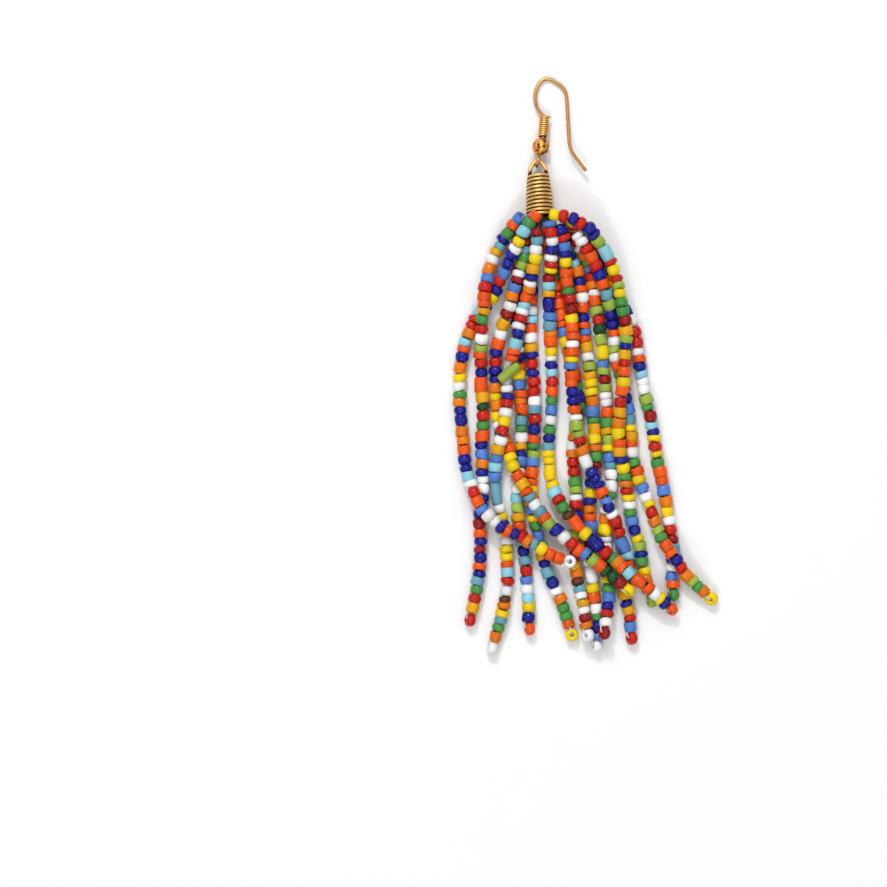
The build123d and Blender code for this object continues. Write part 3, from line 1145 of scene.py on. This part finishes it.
# The routes are the points of the part's source, in millimetres: across from the cone's mouth, down from
# it, and up from the lowest layer of beads.
STRINGS = [
    BeadString(
        number=1, stopper=Glass.WHITE, stopper_turn=0,
        tuck=[(-0.1, 0.1, 4.8)],
        route=[
            (-2.0, 1.3, 4.6), (-3.7, 4.8, 4.6), (-6.3, 9.8, 2.8), (-8.5, 15.6, 0.1), (-12.6, 19.8, 0),
            (-14.9, 26.3, 0), (-15.5, 33.7, 0), (-14.9, 41.7, 0), (-14.1, 49.8, 0.7), (-11.8, 55.6, 2.7),
            (-8.1, 59.6, 2.6), (-4.5, 61.5, 2.5), (-0.4, 63.7, 2.5), (2.6, 65.6, 2.4), (5.7, 66.5, 2.3),
        ],
        lead=[
            Glass.TANGERINE, Glass.GREEN, Glass.AQUA, Glass.YELLOW, Glass.WHITE, Glass.NAVY, Glass.NAVY,
            Glass.CORNFLOWER,
        ],
    ),
    BeadString(
        number=2, stopper=Glass.RED, stopper_turn=70,
        tuck=[(-3.2, 0.6, 3.2)],
        route=[
            (-3.9, 0.9, 2.8), (-6.8, 4.4, 1.3), (-9.7, 9.8, 0.2), (-10.7, 16.0, 2.6), (-11.0, 21.0, 2.6),
            (-11.5, 27.9, 0.2), (-10.8, 37.9, 0), (-11.2, 46.2, 0), (-10.8, 52.9, 0), (-11.6, 59.0, 0),
            (-11.2, 66.7, 0), (-12.2, 72.9, 0), (-13.3, 77.8, 0),
        ],
        lead=[Glass.CORNFLOWER, Glass.TANGERINE, Glass.GREEN, Glass.NAVY, Glass.TURQUOISE],
    ),
    BeadString(
        number=3, stopper=Glass.YELLOW, stopper_turn=60,
        route=[
            (-2.1, 4.4, 2.3), (-2.9, 8.3, 2.4), (-4.7, 13.7, 2.5), (-6.2, 19.0, 2.1), (-8.1, 24.2, 0.4),
            (-8.5, 30.2, 0), (-8.2, 35.6, 0), (-8.3, 40.0, 0), (-6.2, 43.8, 0.2), (-5.1, 48.7, 2.6),
            (-1.8, 54.6, 2.6), (1.5, 59.2, 2.0), (5.5, 62.7, 2.5), (9.4, 65.6, 2.5), (13.2, 68.8, 2.7),
            (17.0, 72.0, 2.5),
        ],
        lead=[
            Glass.OXBLOOD, Glass.TURQUOISE, Glass.GREEN, Glass.LIME, Glass.WHITE, Glass.OXBLOOD,
            Glass.CORNFLOWER,
        ],
    ),
    BeadString(
        number=4, stopper=Glass.WHITE, stopper_turn=80, askew=17, long=29,
        tuck=[(-0.4, 2.9, 4.6)],
        route=[
            (-0.6, 3.9, 4.9), (-0.7, 7.3, 4.8), (-1.8, 13.3, 2.9), (-3.5, 19.0, 2.6), (-4.7, 25.0, 2.6),
            (-6.2, 31.3, 1.9), (-6.2, 37.1, 2.0), (-7.4, 42.9, 3.1), (-8.7, 47.9, 1.0), (-8.4, 54.8, 0),
            (-6.6, 60.6, 0), (-6.0, 67.9, 0), (-6.7, 76.0, 0), (-9.1, 83.2, 0),
        ],
        lead=[
            Glass.OXBLOOD, Glass.TURQUOISE, Glass.WHITE, Glass.YELLOW, Glass.AMBER, Glass.NAVY, Glass.WHITE,
        ],
    ),
    BeadString(
        number=5, stopper=Glass.TANGERINE, stopper_turn=75,
        route=[
            (-3.7, 3.1, 0), (-4.2, 8.3, 0), (-4.4, 14.8, 0), (-4.3, 22.1, 0), (-4.0, 30.2, 0),
            (-3.5, 37.1, 0), (-3.5, 43.3, 0), (-3.7, 47.9, 0), (-4.6, 54.4, 0), (-3.9, 59.6, 0),
            (-2.9, 65.6, 0), (-2.2, 72.7, 0), (-1.9, 79.5, 0),
        ],
    ),
    BeadString(
        number=6, stopper=Glass.YELLOW, stopper_turn=0,
        route=[
            (-1.2, 4.6, 0), (-1.6, 11.0, 0), (-1.5, 18.7, 0), (-1.7, 26.0, 0), (-0.8, 35.6, 0),
            (-1.0, 44.2, 0), (-1.8, 54.8, 0), (-0.2, 61.5, 0), (1.1, 67.9, 0), (4.3, 74.1, 0),
            (6.2, 80.6, 0),
        ],
    ),
    BeadString(
        number=7, stopper=Glass.TANGERINE, stopper_turn=65,
        tuck=[(1.8, 1.6, 4.6)],
        route=[
            (2.0, 3.1, 4.8), (2.3, 7.5, 3.6), (1.7, 13.3, 2.2), (2.0, 20.6, 0.9), (2.3, 27.5, 0),
            (2.4, 35.4, 0), (1.8, 43.1, 0), (1.7, 50.4, 0), (4.0, 56.2, 2.2), (8.0, 60.4, 2.6),
            (12.6, 64.8, 2.6), (17.6, 69.0, 2.5), (21.8, 72.4, 2.6), (25.3, 75.7, 0.8),
        ],
        lead=[
            Glass.CORNFLOWER, Glass.RED, Glass.WHITE, Glass.NAVY, Glass.WHITE, Glass.RED, Glass.YELLOW,
            Glass.OXBLOOD,
        ],
    ),
    BeadString(
        number=8, stopper=Glass.RED, stopper_turn=60,
        tuck=[(3.7, 2.2, 3.6)],
        route=[
            (4.2, 3.6, 3.4), (4.8, 7.5, 2.7), (5.1, 13.3, 2.1), (6.5, 21.0, 1.9), (5.9, 27.5, 2.6),
            (6.1, 34.0, 2.2), (7.2, 42.1, 2.6), (8.4, 47.1, 2.3), (11.1, 51.3, 2.6), (13.4, 56.5, 2.6),
            (15.3, 61.3, 0.8), (17.3, 66.9, 0), (16.1, 72.1, 0), (17.4, 76.7, 0), (17.7, 81.3, 0),
        ],
        lead=[
            Glass.NAVY, Glass.RED, Glass.CORNFLOWER, Glass.NAVY, Glass.YELLOW, Glass.TANGERINE,
            Glass.TANGERINE, Glass.GREEN,
        ],
    ),
    BeadString(
        number=9, stopper=Glass.WHITE, stopper_turn=40,
        route=[
            (1.3, 4.8, 0), (2.3, 9.6, 0), (3.8, 16.3, 0), (4.6, 22.7, 0), (6.3, 29.0, 0), (7.4, 34.0, 0),
            (7.4, 39.0, 0), (6.1, 44.8, 0), (6.9, 50.6, 0), (7.0, 57.5, 0), (6.7, 63.5, 0), (6.7, 68.3, 0),
            (8.0, 72.5, 0.9), (8.5, 76.7, 1.2), (9.2, 80.6, 1.8),
        ],
    ),
    BeadString(
        number=10, stopper=Glass.WHITE, stopper_turn=70,
        route=[
            (3.75, 5.2, 0), (5.7, 7.7, 0), (7.6, 11.7, 0), (8.2, 17.1, 0), (8.8, 24.0, 0), (9.6, 30.2, 0),
            (10.2, 37.5, 0), (10.7, 44.6, 0), (10.9, 48.3, 0), (9.6, 53.3, 0), (9.7, 60.6, 0),
            (9.6, 67.5, 0), (10.6, 73.7, 0), (11.2, 78.3, 0), (11.0, 82.8, 0),
        ],
        lead=[
            Glass.NAVY, Glass.TURQUOISE, Glass.NAVY, Glass.AQUA, Glass.ORANGE, Glass.NAVY, Glass.TANGERINE,
            Glass.WHITE,
        ],
    ),
    BeadString(
        number=11, stopper=Glass.OXBLOOD, stopper_turn=50,
        route=[
            (4.6, 2.9, 0.7), (7.6, 5.4, 0.1), (10.0, 10.6, 0), (10.8, 16.7, 0), (11.8, 23.7, 0),
            (12.3, 30.2, 0), (13.1, 37.4, 0), (13.2, 44.6, 0), (14.0, 52.5, 0), (12.3, 57.9, 0),
            (13.0, 65.6, 0), (13.3, 71.7, 0.2), (13.1, 76.1, 1.3), (12.3, 80.2, 2.5),
        ],
    ),
    BeadString(
        number=12, stopper=Glass.LIME, stopper_turn=80,
        tuck=[(1.8, 0.3, 4.9)],
        route=[
            (2.4, 0.4, 5.0), (6.0, 0.9, 5.1), (9.6, 3.0, 4.5), (12.3, 6.9, 2.9), (14.6, 11.7, 2.5),
            (15.5, 16.3, 2.7), (16.6, 22.1, 2.1), (16.3, 27.5, 2.2), (15.8, 32.7, 2.8), (14.9, 41.0, 1.9),
            (15.4, 46.3, 1.8), (16.6, 51.3, 0.3), (17.4, 57.1, 0), (18.9, 62.5, 0), (20.1, 68.7, 0),
            (21.5, 74.2, 0),
        ],
        lead=[
            Glass.YELLOW, Glass.RED, Glass.NAVY, Glass.RED, Glass.NAVY, Glass.NAVY, Glass.LIME, Glass.AQUA,
        ],
    ),
    BeadString(
        number=13, stopper=Glass.YELLOW, stopper_turn=30,
        route=[
            (6.7, 3.7, 3.6), (9.4, 7.1, 2.9), (11.3, 11.5, 2.3), (13.0, 15.8, 1.6), (14.3, 21.7, 0),
            (14.5, 27.1, 0), (15.9, 32.5, 0), (17.3, 38.7, 0), (17.7, 45.6, 0), (19.0, 50.6, 0),
            (21.1, 55.6, 0), (22.8, 61.2, 1.6), (25.7, 66.0, 2.8), (29.1, 70.2, 1.1), (33.0, 73.7, 0),
        ],
        lead=[
            Glass.WHITE, Glass.WHITE, Glass.RED, Glass.TANGERINE, Glass.RED, Glass.NAVY, Glass.TANGERINE,
            Glass.TURQUOISE,
        ],
    ),
    BeadString(
        number=14, stopper=Glass.GREEN, stopper_turn=70,
        route=[
            (4.5, 0.9, 2.6), (9.0, 2.75, 1.7), (12.1, 7.7, 0.1), (13.8, 12.5, 0), (15.5, 16.7, 0),
            (18.0, 21.0, 0), (19.0, 27.1, 0), (19.8, 32.5, 0), (21.5, 39.8, 0), (22.4, 46.2, 0),
            (24.0, 52.9, 0), (24.9, 60.0, 0), (25.9, 64.0, 0), (25.1, 68.3, 0), (25.7, 72.9, 0),
        ],
    ),
]


class CoilShape(Shape):
    """Close turns of one wire about Y, and the same wire along the paths that it is given, with painted
    shade marked in the grooves between the turns.
    """

    waver: float = 60.0

    def __init__(self) -> None:
        """Builds the tree."""
        sizes = ["Start Radius", "End Radius", "Fullness", "Height", "Turns", "Wire Radius", "Phase"]
        inputs = {name: "Float" for name in sizes}
        inputs |= {"Steps": "Int", "Sides": "Int", "Seed": "Int"}
        inputs |= {"Unevenness": "Float", "Metal": "Material"}
        super().__init__("wire_coil", inputs)
        values = {"Count": self["Steps"] + 1.0, "Offset": (0.0, 0.0, 0.0)}
        line = self.node("GeometryNodeMeshLine", {}, values)
        share = self.node("GeometryNodeInputIndex") / self["Steps"]
        angle = share * self["Turns"] * tau + self["Phase"]
        radius = self.radius(share)
        x, z = radius * angle.maths("COSINE"), radius * angle.maths("SINE")
        wound = self.xyz(x, share * self["Height"], z)
        values = {"W": share * self.waver + self["Seed"]}
        noise = self.node("ShaderNodeTexNoise", {"noise_dimensions": "1D"}, values)
        uneven = self.xyz(y=(noise - 0.5) * self["Unevenness"])
        turns = self.curve(self.moved(line, {"Position": self.vector("ADD", wound, uneven)}))
        paths = self.joined(turns, self.curve(self["Geometry"]))
        wire = self.tube(paths, self["Wire Radius"], self["Sides"])
        # The wire carries a painted shade value, darkest in the grooves between the turns.
        self.leave(self.marked(wire, "groove", self.groove()), self["Metal"])

    def radius(self, share: Wire) -> Wire:
        """The turns' radius at a share of the height."""
        narrowing = self["Start Radius"] - self["End Radius"]
        return self["End Radius"] + (1.0 - share).maths("POWER", self["Fullness"]) * narrowing

    def groove(self) -> Wire:
        """How much painted shade a place gets, by how deep it lies between the turns.

        Returns:
            0 on the ridges and past the turns, and 1 in the grooves.
        """
        x = self.place()
        y, z = x.output("Y"), x.output("Z")
        out = (x * x + z * z).maths("SQRT")
        share = self.node("ShaderNodeMapRange", {}, {"Value": y, "From Max": self["Height"]})
        ridge = self.radius(share) + self["Wire Radius"]
        past = y > self["Height"] + self["Wire Radius"]
        return (ridge - out) / self["Wire Radius"] * (1.0 - past)


@dataclass
class WireCone:
    """The cone of close turns over the fringe, with its bail of the same wire."""

    finishes: Finishes
    mouth: Place = (-8.62 * MM, 28.35 * MM, 3.641 * MM)
    lean: float = 2.0
    droop: float = 9.0
    wire_radius: float = 0.39 * MM
    wire_sides: int = 14
    pitch: float = 0.75 * MM
    turns: float = 10.6
    turn_steps: int = 44
    start_angle: float = 200.0
    unevenness: float = 0.12 * MM
    seed: int = 5
    length: float = 7.5 * MM
    top_radius: float = 1.66 * MM
    mouth_radius: float = 2.31 * MM
    fullness: float = 0.45
    bail_height: float = 3.1 * MM
    bail_half_angle: float = 30.0
    bail_bend_radius: float = 1.1 * MM
    shoulder_share: float = 0.9
    shoulder_radius: float = 0.9 * MM
    bend_steps: int = 10

    @property
    def frame(self) -> Matrix:
        """The cone's frame, at the middle of its mouth with Y along its axis."""
        return lying_frame(Vector(self.mouth), self.lean, self.droop)

    def bail(self) -> list[Vector]:
        """The bail's line, from inside one side of the top turn to inside the other.

        Returns:
            The points of the line, in the cone's frame.
        """
        half = radians(self.bail_half_angle)
        across = self.shoulder_share * self.top_radius
        apex = self.bail_height + self.bail_bend_radius * (1 / sin(half) - 1)
        shoulder = apex - across / tan(half)
        corners = [
            (-self.top_radius, self.length),
            (-across, self.length + shoulder),
            (0.0, self.length + apex),
            (across, self.length + shoulder),
            (self.top_radius, self.length),
        ]
        radii = [self.shoulder_radius, self.bail_bend_radius, self.shoulder_radius]
        return rounded_path(corners, radii, self.bend_steps)

    def build(self, shape: CoilShape) -> None:
        """Makes the cone and ties it to the model.

        Args:
            shape: the tree that winds the wire.
        """
        height = self.turns * self.pitch
        lower = Matrix.Translation((0.0, (self.length - height) / 2, 0.0))
        bail = line_mesh("cone_bail", self.bail())
        bail.transform(lower.inverted())
        piece = new_piece("coiled_cone", bail)
        shape.grow(piece, {
            "Start Radius": self.mouth_radius,
            "End Radius": self.top_radius,
            "Fullness": self.fullness,
            "Height": height,
            "Turns": -self.turns,
            "Wire Radius": self.wire_radius,
            "Phase": radians(self.start_angle),
            "Steps": round(self.turns * self.turn_steps),
            "Sides": self.wire_sides,
            "Seed": self.seed,
            "Unevenness": self.unevenness,
            "Metal": self.finishes.bronze,
        })
        piece.data.transform(self.frame @ lower)
        dressed(piece, "bronze_wire", "wire_cone")


class DentShape(Shape):
    """Shallow dents in a ball, with painted shade in the dents and round the edge of its bore."""

    detail: float = 3.0
    dent_level: float = 0.55
    dent_shade: float = 4.0
    rim_shade: float = 0.5

    def __init__(self) -> None:
        """Builds the tree."""
        inputs = {"Depth": "Float", "Patch": "Float", "Rim": "Float", "Seed": "Int", "Metal": "Material"}
        super().__init__("dents", inputs)
        values = {"W": self["Seed"], "Scale": 1.0 / self["Patch"], "Detail": self.detail}
        noise = self.node("ShaderNodeTexNoise", {"noise_dimensions": "4D"}, values)
        dent = (noise - self.dent_level).maths("MINIMUM", 0.0)
        inwards = self.scaled(self.node("GeometryNodeInputNormal"), dent * self["Depth"])
        dented = self.moved(self["Geometry"], {"Offset": inwards})
        rim = self.place().output("Z").maths("ABSOLUTE") > self["Rim"]
        # Painted shade: darker in the dents and at the edge round the bore.
        groove = rim * self.rim_shade - dent * self.dent_shade
        self.leave(self.marked(dented, "groove", groove), self["Metal"])


@dataclass
class EarWire:
    """The fish-hook ear wire with its fine coil and its ball."""

    finishes: Finishes
    droop: float = 5.5
    coil_lean: float = -4.5
    coil_wire_radius: float = 0.21 * MM
    coil_wire_sides: int = 10
    coil_outer_radius: float = 1.0 * MM
    coil_pitch: float = 0.42 * MM
    coil_turns: int = 9
    coil_turn_steps: int = 30
    coil_unevenness: float = 0.05 * MM
    coil_seed: int = 9
    coil_end_angle: float = 50.0
    coil_end_length: float = 0.75 * MM
    coil_end_rise: float = 0.25
    ball_lean: float = -12.5
    ball_radius: float = 1.65 * MM
    ball_rows: int = 40
    ball_sides: int = 64
    bore_radius: float = 0.39 * MM
    rim_share: float = 0.93
    dent_depth: float = 0.35 * MM
    dent_patch: float = 0.55 * MM
    dent_seed: int = 3

    def build(self, nodes: dict[str, bpy.types.Object], shape: CoilShape) -> None:
        """Dresses the ear wire's own node, and makes its coil and ball.

        Args:
            nodes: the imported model's nodes.
            shape: the tree that winds the wire.
        """
        for slot in nodes["ear_hook"].material_slots:
            slot.material = self.finishes.gilt
        self.build_coil(shape)
        self.build_ball()

    def build_coil(self, shape: CoilShape) -> None:
        """Winds the fine coil round the shank.

        Args:
            shape: the tree that winds the wire.
        """
        height = self.coil_turns * self.coil_pitch
        turn_radius = self.coil_outer_radius - self.coil_wire_radius
        piece = new_piece("fine_coil", line_mesh("loose_end", self.loose_end(turn_radius, height)))
        shape.grow(piece, {
            "Start Radius": turn_radius,
            "End Radius": turn_radius,
            "Fullness": 1.0,
            "Height": height,
            "Turns": -self.coil_turns,
            "Wire Radius": self.coil_wire_radius,
            "Phase": radians(self.coil_end_angle),
            "Steps": self.coil_turns * self.coil_turn_steps,
            "Sides": self.coil_wire_sides,
            "Seed": self.coil_seed,
            "Unevenness": self.coil_unevenness,
            "Metal": self.finishes.coil,
        })
        frame = lying_frame(box_middle("hook_coil"), self.coil_lean, self.droop)
        piece.data.transform(frame @ Matrix.Translation((0.0, -height / 2, 0.0)))
        dressed(piece, "gold_wire", "hook_coil")

    def loose_end(self, turn_radius: float, height: float) -> list[Vector]:
        """The line of the coil's last bit of wire, which leaves the top turn straight on.

        Args:
            turn_radius: the radius of the top turn.
            height: the coil's height.

        Returns:
            The two ends of the line.
        """
        angle = radians(self.coil_end_angle)
        start = Vector((turn_radius * cos(angle), height, turn_radius * sin(angle)))
        onwards = Vector((sin(angle), self.coil_end_rise, -cos(angle)))
        return [start, start + onwards * self.coil_end_length]

    def build_ball(self) -> None:
        """Turns the ball, with its bore and its worn, dented skin."""
        edge = self.bore_radius / self.ball_radius
        profile = []
        for row in range(self.ball_rows + 1):
            angle = -pi / 2 + edge + (pi - 2 * edge) * row / self.ball_rows
            profile.append((self.ball_radius * cos(angle), self.ball_radius * sin(angle)))
        piece = new_piece("dented_ball", lathe("dented_ball", profile, self.ball_sides))
        DentShape().grow(piece, {
            "Depth": self.dent_depth,
            "Patch": self.dent_patch,
            "Rim": self.rim_share * self.ball_radius,
            "Seed": self.dent_seed,
            "Metal": self.finishes.ball,
        })
        frame = lying_frame(box_middle("hook_ball"), self.ball_lean, self.droop)
        piece.data.transform(frame @ Matrix.Rotation(-pi / 2, 4, "X"))
        dressed(piece, "gold_ball", "hook_ball")


@dataclass
class ThreadKnot:
    """The knotted threads in the cone's mouth, with a pair of threads to each string.

    The values named share are shares of the knot's radius, and those named run are shares of the way from
    one point of a thread to the next.
    """

    finishes: Finishes
    frame: Matrix
    knot_radius: float = 0.95 * MM
    knot_drop: float = 0.9 * MM
    knot_steps: int = 260
    winds: int = 11
    laps: int = 4
    lap_share: float = 0.62
    wind_share: float = 0.3
    knot_height_share: float = 0.75
    depth: float = 6.8 * MM
    top_share: float = 0.75
    waist_share: float = 0.8
    below_radius: float = 0.44 * MM
    pair_radius: float = 0.088 * MM
    pair_turn: float = 0.25
    upper_run: float = 0.5
    lower_run: float = 0.35

    def knot(self) -> list[Vector]:
        """The line of the knot, a thread that winds over itself.

        Returns:
            The points of the line, in the cone's frame.
        """
        points = []
        for step in range(self.knot_steps):
            turn = tau * step / self.knot_steps
            out = self.knot_radius * (self.lap_share + self.wind_share * cos(self.winds * turn))
            rise = self.knot_height_share * self.knot_radius * sin(self.winds * turn)
            place = (out * cos(self.laps * turn), rise - self.knot_drop, out * sin(self.laps * turn))
            points.append(Vector(place))
        return points + points[:1]

    def threads(self, starts: list[Vector]) -> list[list[Vector]]:
        """The lines from deep in the cone through the knot to each string, two to a string.

        Args:
            starts: where each string of beads starts.

        Returns:
            The points of each line, in the cone's frame.
        """
        home = self.frame.inverted()
        lines = []
        for number, start in enumerate(starts):
            goal = home @ start
            for side in (-1, 1):
                angle = tau * (number + self.pair_turn * side) / len(starts)
                ring = Vector((cos(angle), 0.0, sin(angle)))
                top = ring * self.knot_radius * self.top_share + Vector((0.0, self.depth, 0.0))
                waist = ring * self.knot_radius * self.waist_share
                below = ring * self.below_radius + Vector((0.0, -self.knot_drop, 0.0))
                near = goal + ring * self.pair_radius
                upper = top.lerp(waist, self.upper_run)
                lines.append([top, upper, waist, below.lerp(near, self.lower_run), near])
        return lines

    def build(self, starts: list[Vector]) -> None:
        """Makes the knot and its threads, and ties them to the model.

        Args:
            starts: where each string of beads starts.
        """
        piece = new_piece("thread_knot", line_mesh("thread_knot", self.knot(), *self.threads(starts)))
        # The threads get the darker knot material: painted shade in the cone's mouth.
        ThreadShape().grow(piece, {"Radius": THREAD_RADIUS, "Thread": self.finishes.knot})
        piece.data.transform(self.frame)
        dressed(piece, "thread", "thread_core")


@dataclass(frozen=True)
class SoftLight:
    """A soft light, so wide and so high, that points at the earring."""

    name: str
    place: Place
    width: float
    height: float
    power: float

    def make(self) -> None:
        """Puts the light in the scene."""
        lamp = bpy.data.lights.new(self.name, "AREA")
        lamp.shape = "RECTANGLE"
        lamp.size = self.width
        lamp.size_y = self.height
        lamp.energy = self.power
        bearer = new_piece(self.name, lamp)
        bearer.location = self.place
        bearer.rotation_euler = Vector(self.place).to_track_quat("Z", "Y").to_euler()


LIGHTS = [
    SoftLight("front_light", (-0.15, -0.75, 0.85), width=0.12, height=0.12, power=1.9),
    SoftLight("front_panel", (-0.2, -0.85, 0.95), width=1.1, height=0.8, power=3.0),
    SoftLight("key_light", (-0.2, 0.8, 0.85), width=0.12, height=0.12, power=4.2),
    SoftLight("back_panel", (-0.1, 0.9, 0.95), width=1.1, height=0.8, power=6.0),
    SoftLight("left_panel", (-0.8, 0.0, 1.05), width=1.0, height=1.0, power=3.2),
    SoftLight("right_panel", (0.78, 0.0, 1.05), width=1.0, height=1.0, power=3.2),
    SoftLight("top_panel", (-0.02, 0.0, 1.3), width=2.0, height=0.9, power=2.5),
]


@dataclass
class Studio:
    """The pale table, the soft light and the camera over them."""

    picture_side: float = 887.0
    pixels_per_metre: float = 5200.0
    middle: tuple[float, float] = (-27.04 * MM, -15.24 * MM)
    height: float = 0.6
    nearest: float = 0.01
    sensor: float = 36.0
    table_side: float = 1.6
    surround: Colour = (0.86, 0.94, 1.0, 1.0)
    surround_strength: float = 0.14

    def build(self, lights: list[SoftLight]) -> None:
        """Makes the table, the lights and the camera.

        Args:
            lights: the lights.
        """
        self.table()
        for light in lights:
            light.make()
        self.surroundings()
        self.camera()

    def table(self) -> None:
        """The plain pale table top."""
        half = self.table_side / 2
        mesh = bpy.data.meshes.new("table_top")
        corners = [(-half, -half, 0.0), (half, -half, 0.0), (half, half, 0.0), (-half, half, 0.0)]
        mesh.from_pydata(corners, [], [(0, 1, 2, 3)])
        mesh.materials.append(TableFinish().make())
        new_piece("table_top", mesh)

    def surroundings(self) -> None:
        """The faint light from all round, and plain colours in the picture."""
        world = bpy.data.worlds.new("studio")
        world.use_nodes = True
        background = next(n for n in world.node_tree.nodes if n.type == "BACKGROUND")
        background.inputs["Color"].default_value = self.surround
        background.inputs["Strength"].default_value = self.surround_strength
        bpy.context.scene.world = world
        bpy.context.scene.view_settings.view_transform = "Standard"

    def camera(self) -> None:
        """The camera, straight above the middle of the picture."""
        lens = bpy.data.cameras.new("camera")
        lens.sensor_width = self.sensor
        lens.lens = self.sensor * self.height * self.pixels_per_metre / self.picture_side
        lens.clip_start = self.nearest
        bearer = new_piece("camera", lens)
        bearer.location = (*self.middle, self.height)
        bpy.context.scene.camera = bearer


def main() -> None:
    """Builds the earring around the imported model, piece by piece."""
    logging.basicConfig(level=logging.INFO, format="%(name)s: %(message)s")
    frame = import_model()
    Studio().build(LIGHTS)
    finishes = Finishes()
    fringe = Fringe(finishes)
    fringe.build(STRINGS)
    coil_shape = CoilShape()
    cone = WireCone(finishes)
    cone.build(coil_shape)
    EarWire(finishes).build(frame["nodes"], coil_shape)
    starts = [fringe.from_mouth(*string.route[0]) for string in STRINGS]
    ThreadKnot(finishes, cone.frame).build(starts)


if __name__ == "__main__":
    main()
